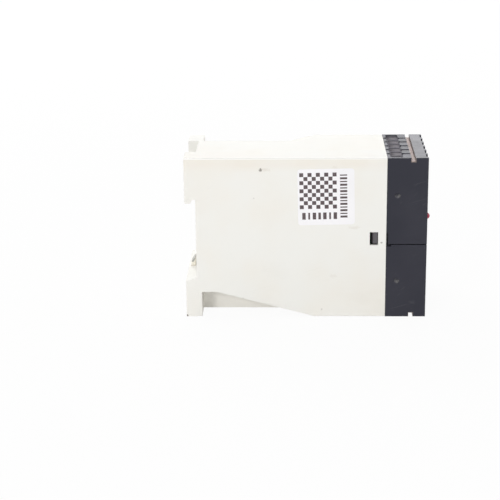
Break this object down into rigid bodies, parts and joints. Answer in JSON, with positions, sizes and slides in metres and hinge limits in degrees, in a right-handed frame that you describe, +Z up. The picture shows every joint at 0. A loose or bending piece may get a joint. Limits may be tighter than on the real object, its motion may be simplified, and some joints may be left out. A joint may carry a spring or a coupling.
{
  "type": "electrode level relay",
  "caption": "Rail-mounted liquid level relay module: pale moulded case with rail hooks and sprung latch, black terminal front with screw terminals, adjuster and indicator lamp.",
  "frame": {"origin": "under the middle of the whole object, on the surface that it stands on", "axes": "+X from the rail side towards the terminal front, +Y across the width away from the side that the picture shows, +Z up"},
  "size_m": [0.11, 0.045, 0.0732],
  "materials": {
    "housing_cream": "satin moulded",
    "latch_cream": "satin moulded",
    "spring_steel": "bright",
    "terminal_black": "satin moulded",
    "contact_brass": "plated",
    "marker_beige": "matt",
    "circuit_board": "lacquered",
    "lamp_red": "translucent",
    "tinned_wire": "tinned",
    "component_blue": "matt",
    "knob_grey": "satin moulded",
    "core_iron": "lacquered laminations",
    "coil_tape": "taped winding",
    "component_black": "matt moulded",
    "relay_shell": "smooth moulded",
    "can_sleeve": "shrunk sleeve",
    "network_tan": "dipped",
    "screw_steel": "zinc plated",
    "clamp_steel": "zinc plated"
  },
  "bodies": {
    "case": {"housing": "housing_cream", "latch_spring": "spring_steel", "upper_terminal_block": "terminal_black", "lower_terminal_block": "terminal_black", "upper_contact_bars": "contact_brass", "lower_contact_bars": "contact_brass", "marker_strip": "marker_beige", "main_board": "circuit_board", "front_board": "circuit_board", "indicator_lamp": "lamp_red", "lamp_leads": "tinned_wire", "potentiometer": "component_blue", "transformer_core": "core_iron", "transformer_coil": "coil_tape", "relay_base": "component_black", "relay_cover": "relay_shell", "relay_coil": "coil_tape", "relay_magnet_frame": "core_iron", "relay_fixed_contacts": "contact_brass", "smoothing_capacitor": "can_sleeve", "timing_capacitor": "can_sleeve", "amplifier_chip": "component_black", "bridge_rectifier": "component_black", "resistor_network": "network_tan"},
    "rail_latch": {"din_latch": "latch_cream"},
    "adjuster": {"sensitivity_knob": "knob_grey"},
    "armature": {"relay_armature": "core_iron", "relay_contact_spring": "contact_brass"},
    "screw_01": {"terminal_screw_01": "screw_steel"},
    "clamp_01": {"terminal_clamp_01": "clamp_steel"},
    "screw_02": {"terminal_screw_02": "screw_steel"},
    "clamp_02": {"terminal_clamp_02": "clamp_steel"},
    "screw_03": {"terminal_screw_03": "screw_steel"},
    "clamp_03": {"terminal_clamp_03": "clamp_steel"},
    "screw_04": {"terminal_screw_04": "screw_steel"},
    "clamp_04": {"terminal_clamp_04": "clamp_steel"},
    "screw_05": {"terminal_screw_05": "screw_steel"},
    "clamp_05": {"terminal_clamp_05": "clamp_steel"},
    "screw_06": {"terminal_screw_06": "screw_steel"},
    "clamp_06": {"terminal_clamp_06": "clamp_steel"},
    "screw_07": {"terminal_screw_07": "screw_steel"},
    "clamp_07": {"terminal_clamp_07": "clamp_steel"},
    "screw_08": {"terminal_screw_08": "screw_steel"},
    "clamp_08": {"terminal_clamp_08": "clamp_steel"},
    "screw_09": {"terminal_screw_09": "screw_steel"},
    "clamp_09": {"terminal_clamp_09": "clamp_steel"},
    "screw_10": {"terminal_screw_10": "screw_steel"},
    "clamp_10": {"terminal_clamp_10": "clamp_steel"},
    "screw_11": {"terminal_screw_11": "screw_steel"},
    "clamp_11": {"terminal_clamp_11": "clamp_steel"},
    "screw_12": {"terminal_screw_12": "screw_steel"},
    "clamp_12": {"terminal_clamp_12": "clamp_steel"}
  },
  "joints": [
    {"name": "latch_slide", "type": "slide", "parent": "case", "child": "rail_latch", "axis": [0, 0, -1], "range_m": [0, 0.0038], "stiffness_N_per_m": 400, "springref_m": -0.002, "deforming": ["latch_spring"]},
    {"name": "sensitivity_turn", "type": "hinge", "parent": "case", "child": "adjuster", "pos_m": [0.05, 0, 0.0495], "axis": [-1, 0, 0], "range_deg": [-135, 135]},
    {"name": "armature_tip", "type": "hinge", "parent": "case", "child": "armature", "pos_m": [0.0123, 0.0154, 0.0285], "axis": [0, 0, -1], "range_deg": [0, 4.4], "stiffness_Nm_per_rad": 0.02, "springref_deg": -2.86},
    {"name": "screw_turn_01", "type": "hinge", "parent": "case", "child": "screw_01", "pos_m": [0.0485, -0.0185, 0.0664], "axis": [-1, 0, 0], "range_deg": [0, 1728]},
    {"name": "clamp_rise_01", "type": "slide", "parent": "case", "child": "clamp_01", "axis": [1, 0, 0], "range_m": [0, 0.0024]},
    {"name": "screw_turn_02", "type": "hinge", "parent": "case", "child": "screw_02", "pos_m": [0.0485, -0.0111, 0.0664], "axis": [-1, 0, 0], "range_deg": [0, 1728]},
    {"name": "clamp_rise_02", "type": "slide", "parent": "case", "child": "clamp_02", "axis": [1, 0, 0], "range_m": [0, 0.0024]},
    {"name": "screw_turn_03", "type": "hinge", "parent": "case", "child": "screw_03", "pos_m": [0.0485, -0.0037, 0.0664], "axis": [-1, 0, 0], "range_deg": [0, 1728]},
    {"name": "clamp_rise_03", "type": "slide", "parent": "case", "child": "clamp_03", "axis": [1, 0, 0], "range_m": [0, 0.0024]},
    {"name": "screw_turn_04", "type": "hinge", "parent": "case", "child": "screw_04", "pos_m": [0.0485, 0.0037, 0.0664], "axis": [-1, 0, 0], "range_deg": [0, 1728]},
    {"name": "clamp_rise_04", "type": "slide", "parent": "case", "child": "clamp_04", "axis": [1, 0, 0], "range_m": [0, 0.0024]},
    {"name": "screw_turn_05", "type": "hinge", "parent": "case", "child": "screw_05", "pos_m": [0.0485, 0.0111, 0.0664], "axis": [-1, 0, 0], "range_deg": [0, 1728]},
    {"name": "clamp_rise_05", "type": "slide", "parent": "case", "child": "clamp_05", "axis": [1, 0, 0], "range_m": [0, 0.0024]},
    {"name": "screw_turn_06", "type": "hinge", "parent": "case", "child": "screw_06", "pos_m": [0.0485, 0.0185, 0.0664], "axis": [-1, 0, 0], "range_deg": [0, 1728]},
    {"name": "clamp_rise_06", "type": "slide", "parent": "case", "child": "clamp_06", "axis": [1, 0, 0], "range_m": [0, 0.0024]},
    {"name": "screw_turn_07", "type": "hinge", "parent": "case", "child": "screw_07", "pos_m": [0.0485, -0.0185, 0.0068], "axis": [-1, 0, 0], "range_deg": [0, 1728]},
    {"name": "clamp_rise_07", "type": "slide", "parent": "case", "child": "clamp_07", "axis": [1, 0, 0], "range_m": [0, 0.0024]},
    {"name": "screw_turn_08", "type": "hinge", "parent": "case", "child": "screw_08", "pos_m": [0.0485, -0.0111, 0.0068], "axis": [-1, 0, 0], "range_deg": [0, 1728]},
    {"name": "clamp_rise_08", "type": "slide", "parent": "case", "child": "clamp_08", "axis": [1, 0, 0], "range_m": [0, 0.0024]},
    {"name": "screw_turn_09", "type": "hinge", "parent": "case", "child": "screw_09", "pos_m": [0.0485, -0.0037, 0.0068], "axis": [-1, 0, 0], "range_deg": [0, 1728]},
    {"name": "clamp_rise_09", "type": "slide", "parent": "case", "child": "clamp_09", "axis": [1, 0, 0], "range_m": [0, 0.0024]},
    {"name": "screw_turn_10", "type": "hinge", "parent": "case", "child": "screw_10", "pos_m": [0.0485, 0.0037, 0.0068], "axis": [-1, 0, 0], "range_deg": [0, 1728]},
    {"name": "clamp_rise_10", "type": "slide", "parent": "case", "child": "clamp_10", "axis": [1, 0, 0], "range_m": [0, 0.0024]},
    {"name": "screw_turn_11", "type": "hinge", "parent": "case", "child": "screw_11", "pos_m": [0.0485, 0.0111, 0.0068], "axis": [-1, 0, 0], "range_deg": [0, 1728]},
    {"name": "clamp_rise_11", "type": "slide", "parent": "case", "child": "clamp_11", "axis": [1, 0, 0], "range_m": [0, 0.0024]},
    {"name": "screw_turn_12", "type": "hinge", "parent": "case", "child": "screw_12", "pos_m": [0.0485, 0.0185, 0.0068], "axis": [-1, 0, 0], "range_deg": [0, 1728]},
    {"name": "clamp_rise_12", "type": "slide", "parent": "case", "child": "clamp_12", "axis": [1, 0, 0], "range_m": [0, 0.0024]}
  ],
  "couplings": [
    {"joint": "screw_turn_01", "follows": "clamp_rise_01", "rad_per_m": 12565},
    {"joint": "screw_turn_02", "follows": "clamp_rise_02", "rad_per_m": 12565},
    {"joint": "screw_turn_03", "follows": "clamp_rise_03", "rad_per_m": 12565},
    {"joint": "screw_turn_04", "follows": "clamp_rise_04", "rad_per_m": 12565},
    {"joint": "screw_turn_05", "follows": "clamp_rise_05", "rad_per_m": 12565},
    {"joint": "screw_turn_06", "follows": "clamp_rise_06", "rad_per_m": 12565},
    {"joint": "screw_turn_07", "follows": "clamp_rise_07", "rad_per_m": 12565},
    {"joint": "screw_turn_08", "follows": "clamp_rise_08", "rad_per_m": 12565},
    {"joint": "screw_turn_09", "follows": "clamp_rise_09", "rad_per_m": 12565},
    {"joint": "screw_turn_10", "follows": "clamp_rise_10", "rad_per_m": 12565},
    {"joint": "screw_turn_11", "follows": "clamp_rise_11", "rad_per_m": 12565},
    {"joint": "screw_turn_12", "follows": "clamp_rise_12", "rad_per_m": 12565}
  ]
}
